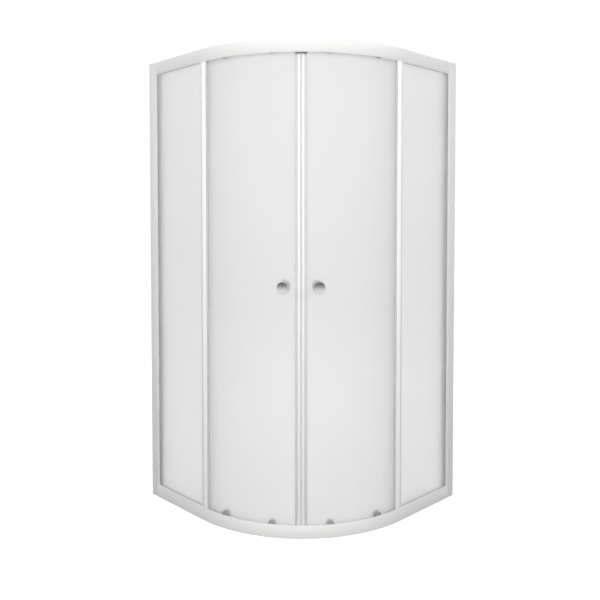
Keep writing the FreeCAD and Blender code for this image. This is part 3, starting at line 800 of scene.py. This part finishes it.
class SHOWER_OT_knobs(bpy.types.Operator):
    """Adds the knobs and washers, and finishes their screws"""
    bl_idname = "shower.knobs"
    bl_label = "Knobs"

    def execute(self, context):
        s = context.scene.shower_sizes
        washer = mm(1.0)
        washer_bore = mm(2.6)
        washer_radius = mm(10)
        washer_round = mm(0.25)
        # The flat inner washer bridges the hollow of the bent glass
        hollow = mm(0.199)
        place = on_door(s, s.knob_angle, s.knob_height)
        outer = s.door_inset - washer
        inner = s.door_inset + s.door_glass + hollow
        for side in SIDES:
            for node, seat, inward in (("knob_outside", outer, -1), ("knob_inside", inner + washer, 1)):
                knob = moved(knob_shape(s, seat, inward), place)
                add_on_door(context, side, knob, node + "_turned", "chrome", node)
            rings = []
            for low in (outer, inner):
                section = rectangle(washer_bore, washer_radius, low, low + washer)
                rings.append(moved(turned(section, washer_round, s.turn_steps, closed=True), place))
            add_on_door(context, side, joined(rings), "knob_washer_rings", "washer", "knob_washers")
        paint_nodes(context, "steel", *both("knob_screw"))
        return {"FINISHED"}


def roller_sections(s):
    """Slot and section of each turned piece of a roller, with its rounding and whether it is a ring."""
    # The flat flange bridges the hollow of the bent glass
    hollow = mm(0.164)
    flange = mm(3.2)
    running_fit = mm(0.05)
    side_room = mm(0.1)
    bush_proud = mm(0.3)
    clip_rim = mm(2)
    clip_width = mm(1)
    axle_tail = mm(3.2)
    sleeve_fit = mm(0.1)
    sleeve_reach = mm(0.9)
    cap_flat_share = 0.6
    cap_slope = mm(0.1)
    cap_shoulder = mm(0.7)
    axle, cap, door = s.axle_radius, s.cap_radius, s.door_inset
    glass = door + s.door_glass
    seat = glass + hollow
    shoulder = seat + flange
    bush_end = s.wheel_near + s.wheel_width + bush_proud
    clip = bush_end + side_room
    end = clip + axle_tail
    front = door - s.cap_height
    cap_outline = [(0, front), (cap * cap_flat_share, front + cap_slope), (cap, front + cap_shoulder),
                   (cap, door), (0, door)]
    axle_outline = [(0, door), (axle, door), (axle, seat), (s.axle_flange, seat),
                    (s.axle_flange, shoulder), (axle, shoulder), (axle, end), (0, end)]
    bush_ring = rectangle(axle + running_fit, s.bush_radius, shoulder + side_room, bush_end)
    clip_ring = rectangle(axle + running_fit, s.bush_radius + clip_rim, clip, clip + clip_width)
    sleeve_ring = rectangle(axle + sleeve_fit, axle + sleeve_reach, door, glass)
    return {
        "caps": ("grey_cap", cap_outline, mm(0.5), False),
        "axles": ("steel", axle_outline, mm(0.4), False),
        "bushes": ("acetal", bush_ring, mm(0.2), True),
        "clips": ("steel", clip_ring, mm(0.2), True),
        "sleeves": ("acetal", sleeve_ring, mm(0.1), True),
    }


def wheel_section(s):
    """Section of a roller wheel, with a recess between hub and tread on both sides."""
    running_fit = mm(0.05)
    hub = mm(6.8)
    tread = mm(2.4)
    dish = mm(1.0)
    near, far = s.wheel_near, s.wheel_near + s.wheel_width
    bore = s.bush_radius + running_fit
    web = s.wheel_radius - tread
    return [(bore, near), (hub, near), (hub + dish / 2, near + dish), (web - dish / 2, near + dish),
            (web, near), (s.wheel_radius, near), (s.wheel_radius, far), (web, far),
            (web - dish / 2, far - dish), (hub + dish / 2, far - dish), (hub, far), (bore, far)]


class SHOWER_OT_rollers(bpy.types.Operator):
    """Adds the rollers: wheels, bushes, axles, clips, sleeves and caps"""
    bl_idname = "shower.rollers"
    bl_label = "Rollers"

    def execute(self, context):
        s = context.scene.shower_sizes
        wheel_round = mm(0.4)
        angles = {"lead": s.lead_angle, "trail": s.trail_angle}
        places = {level + "_" + spot: on_door(s, angle, z)
                  for level, z in roller_heights(s).items() for spot, angle in angles.items()}
        for side in SIDES:
            for name, (slot, section, rounding, closed) in roller_sections(s).items():
                shapes = [moved(turned(section, rounding, s.turn_steps, closed), place)
                          for place in places.values()]
                add_on_door(context, side, joined(shapes), "turned_" + name, slot, "roller_" + name)
            # Each wheel is a body of its own, with its node's name
            for spot, place in places.items():
                body = "roller_wheel_%s_%s" % (spot, side)
                wheel = moved(turned(wheel_section(s), wheel_round, s.turn_steps, closed=True), place)
                add_piece(context, wheel, "moulded_wheel_%s_%s" % (spot, side), "nylon", body, [body],
                          mirror=side == "right")
        return {"FINISHED"}


def cover_outline(s):
    """Outline of a domed screw cover, with room for the screw's head."""
    head_room = mm(2.5)
    head_radius = mm(3.1)
    # Shares of the radius and of the height, from the rim to the middle
    dome_shares = ((1, 0.4), (0.85, 0.82), (0.5, 0.96), (0, 1))
    # The round cover fits inside the six-sided solid
    radius = s.cover_radius * math.cos(math.pi / 6)
    dome = [(radius * across, s.cover_height * up) for across, up in dome_shares]
    return [(0, head_room), (head_radius, head_room), (head_radius, 0), (radius, 0)] + dome


class SHOWER_OT_screws(bpy.types.Operator):
    """Adds the screw covers and finishes the screws"""
    bl_idname = "shower.screws"
    bl_label = "Screws"

    def execute(self, context):
        s = context.scene.shower_sizes
        paint_nodes(context, "steel", "rail_screws", "post_screws", "jamb_screws")
        flank = Vector((CAD_LOW.x + s.cover_place, CAD_LOW.y + s.channel_depth, 0))
        inwards = Matrix.Rotation(-QUARTER, 4, "X")
        shapes = []
        for z in (s.cover_end, CAD_HIGH.z / 2, CAD_HIGH.z - s.cover_end):
            place = Matrix.Translation(flank + UP * z) @ inwards
            shapes += [moved(turned(cover_outline(s), 0, s.turn_steps // 2), spot)
                       for spot in (place, MIRROR @ place)]
        add_piece(context, joined(shapes), "screw_cover_domes", "white_plastic", "root",
                  ["jamb_screw_covers"])
        return {"FINISHED"}


# The camera's turn and tilt in radians, and its distance and height in metres
YAW = -0.0117
PITCH = 0.0366
CAMERA_DISTANCE = 2.88322
CAMERA_HEIGHT = 1.15686
# The lens in millimetres, and its shift in widths of the picture
SENSOR_WIDTH = 36.0
FOCAL_LENGTH = 41.568
SHIFT_ACROSS = -0.0038
SHIFT_UP = -0.0908
# Level directions: across the enclosure and out of its front, then to the camera's right and towards it
ACROSS = Vector((1, 1, 0)).normalized()
FRONT = Vector((1, -1, 0)).normalized()
RIGHT = ACROSS * math.cos(YAW) + FRONT * math.sin(YAW)
BACK = FRONT * math.cos(YAW) - ACROSS * math.sin(YAW)
# Height that the lamps are turned to, in metres
LAMP_AIM = 0.95
# Each lamp's place in metres across, towards the camera and up, its watts and its width in metres
LAMPS = {
    "front": (0.0, 3.2, 2.1, 81.0, 1.2),
    "low": (0.0, 3.2, 0.4, 11.0, 1.2),
    "left": (-2.8, 1.2, 2.4, 30.0, 1.5),
    "right": (2.8, 1.2, 2.4, 30.0, 1.5),
    "top": (0.0, 0.0, 3.8, 24.0, 2.4),
    "rear": (0.0, -2.8, 1.6, 85.0, 2.4),
}
WHITE = (1, 1, 1, 1)


def add_camera(scene):
    """Adds the camera at the photo's view."""
    behind = BACK * math.cos(PITCH) + UP * math.sin(PITCH)
    turn = Matrix((RIGHT, behind.cross(RIGHT), behind)).transposed().to_4x4()
    lens = bpy.data.cameras.new("photo_camera")
    lens.sensor_width = SENSOR_WIDTH
    lens.lens = FOCAL_LENGTH
    lens.shift_x = SHIFT_ACROSS
    lens.shift_y = SHIFT_UP
    camera = bpy.data.objects.new("photo_camera", lens)
    camera.matrix_world = Matrix.Translation(BACK * CAMERA_DISTANCE + UP * CAMERA_HEIGHT) @ turn
    scene.collection.objects.link(camera)
    scene.camera = camera


def floor_paint(scene):
    """Matt studio paint, which glows white to the camera and through the glass."""
    seen, through_glass = 1.0, 1.03
    cloud_width = 2.0
    material, tree, place = new_material("matt_studio_floor")
    cloud = add_node(tree, "ShaderNodeTexNoise", {"Vector": place, "Scale": 1 / cloud_width})
    tone = tuple(scene.shower_colours.floor)
    wash = add_node(tree, "ShaderNodeMix", {"Factor": cloud.outputs["Fac"], "A": tinted(tone, 0.99),
                                            "B": tinted(tone, 1.0)}, data_type="RGBA")
    path = add_node(tree, "ShaderNodeLightPath", {})
    through = add_node(tree, "ShaderNodeMapRange", {"Value": path.outputs["Is Transmission Ray"],
                                                    "To Min": 0.0, "To Max": through_glass})
    glow = add_node(tree, "ShaderNodeMapRange", {"Value": path.outputs["Is Camera Ray"],
                                                 "To Min": through.outputs["Result"], "To Max": seen})
    shade(tree, {"Base Color": wash.outputs["Result"], "Roughness": 0.9, "Emission Color": WHITE,
                 "Emission Strength": glow.outputs["Result"]})
    material.cycles.emission_sampling = "NONE"
    return material


def add_floor(scene):
    """Adds the floor."""
    reach = 30
    ground = bmesh.new()
    bmesh.ops.create_grid(ground, x_segments=2, y_segments=2, size=reach)
    mesh = bpy.data.meshes.new("studio_floor")
    ground.to_mesh(mesh)
    ground.free()
    mesh.materials.append(floor_paint(scene))
    floor = bpy.data.objects.new("studio_floor", mesh)
    scene.collection.objects.link(floor)
    floor.visible_glossy = False


def add_surround(scene):
    """Adds the white surround: bright to the camera and through glass, dim as a light, shaded in gloss."""
    seen, through_glass, as_light = 1.02, 1.22, 0.2
    # In gloss, the light goes from the first strength to the second between these slopes of a ray
    low_slope, high_slope = -0.7, 0.44
    low_gloss, high_gloss = 1.0, 0.2
    world = bpy.data.worlds.new("studio_surround")
    world.use_nodes = True
    tree = world.node_tree
    tree.nodes.clear()
    way = add_node(tree, "ShaderNodeTexCoord", {}).outputs["Generated"]
    rise = add_node(tree, "ShaderNodeSeparateXYZ", {"Vector": way})
    mirrored = add_node(tree, "ShaderNodeMapRange", {"Value": rise.outputs["Z"], "From Min": low_slope,
                                                     "From Max": high_slope, "To Min": low_gloss,
                                                     "To Max": high_gloss}, interpolation_type="SMOOTHSTEP")
    path = add_node(tree, "ShaderNodeLightPath", {})
    around = add_node(tree, "ShaderNodeMapRange", {"Value": path.outputs["Is Glossy Ray"],
                                                   "To Min": as_light, "To Max": mirrored.outputs["Result"]})
    through = add_node(tree, "ShaderNodeMapRange", {"Value": path.outputs["Is Transmission Ray"],
                                                    "To Min": around.outputs["Result"],
                                                    "To Max": through_glass})
    bright = add_node(tree, "ShaderNodeMapRange", {"Value": path.outputs["Is Camera Ray"],
                                                   "To Min": through.outputs["Result"], "To Max": seen})
    sky = add_node(tree, "ShaderNodeBackground", {"Color": WHITE, "Strength": bright.outputs["Result"]})
    add_node(tree, "ShaderNodeOutputWorld", {"Surface": sky.outputs["Background"]})
    world.cycles.sampling_method = "NONE"
    scene.world = world


def add_lamps(scene):
    """Adds the soft lamps, turned to the middle of the enclosure and hidden in gloss and through glass."""
    aim = UP * LAMP_AIM
    for name, (across, back, up, power, size) in LAMPS.items():
        spot = ACROSS * across + BACK * back + UP * up
        turn = (aim - spot).to_track_quat("-Z", "Y").to_matrix().to_4x4()
        lamp = bpy.data.lights.new("studio_" + name, "AREA")
        lamp.energy = power
        lamp.size = size
        light = bpy.data.objects.new("studio_" + name, lamp)
        light.matrix_world = Matrix.Translation(spot) @ turn
        light.visible_glossy = False
        light.visible_transmission = False
        scene.collection.objects.link(light)


class SHOWER_OT_stage(bpy.types.Operator):
    """Adds the floor, the lights and the camera"""
    bl_idname = "shower.stage"
    bl_label = "Stage"

    def execute(self, context):
        scene = context.scene
        scene.view_settings.view_transform = "Standard"
        add_camera(scene)
        add_floor(scene)
        add_surround(scene)
        add_lamps(scene)
        return {"FINISHED"}


OPERATORS = (SHOWER_OT_rails, SHOWER_OT_uprights, SHOWER_OT_fixed_panes, SHOWER_OT_door_panes,
             SHOWER_OT_seals, SHOWER_OT_knobs, SHOWER_OT_rollers, SHOWER_OT_screws, SHOWER_OT_stage)


class SHOWER_PT_panel(bpy.types.Panel):
    """Lists the enclosure's pieces, sizes and colours"""
    bl_idname = "SHOWER_PT_panel"
    bl_label = "Shower Enclosure"
    bl_space_type = "VIEW_3D"
    bl_region_type = "UI"
    bl_category = "Shower"

    def draw(self, context):
        for operator in OPERATORS:
            self.layout.operator(operator.bl_idname)
        for group in (context.scene.shower_sizes, context.scene.shower_colours):
            for name in group.__annotations__:
                self.layout.prop(group, name)


CLASSES = (ShowerSizes, ShowerColours, *OPERATORS, SHOWER_PT_panel)


def register():
    """Registers the classes and the scene's settings."""
    for item in CLASSES:
        bpy.utils.register_class(item)
    bpy.types.Scene.shower_sizes = PointerProperty(type=ShowerSizes)
    bpy.types.Scene.shower_colours = PointerProperty(type=ShowerColours)


def unregister():
    """Takes the classes and settings out again."""
    del bpy.types.Scene.shower_colours
    del bpy.types.Scene.shower_sizes
    for item in reversed(CLASSES):
        bpy.utils.unregister_class(item)


def main():
    """Makes every piece."""
    register()
    bpy.ops.shower.rails()
    bpy.ops.shower.uprights()
    bpy.ops.shower.fixed_panes()
    bpy.ops.shower.door_panes()
    bpy.ops.shower.seals()
    bpy.ops.shower.knobs()
    bpy.ops.shower.rollers()
    bpy.ops.shower.screws()
    bpy.ops.shower.stage()


if __name__ == "__main__":
    main()
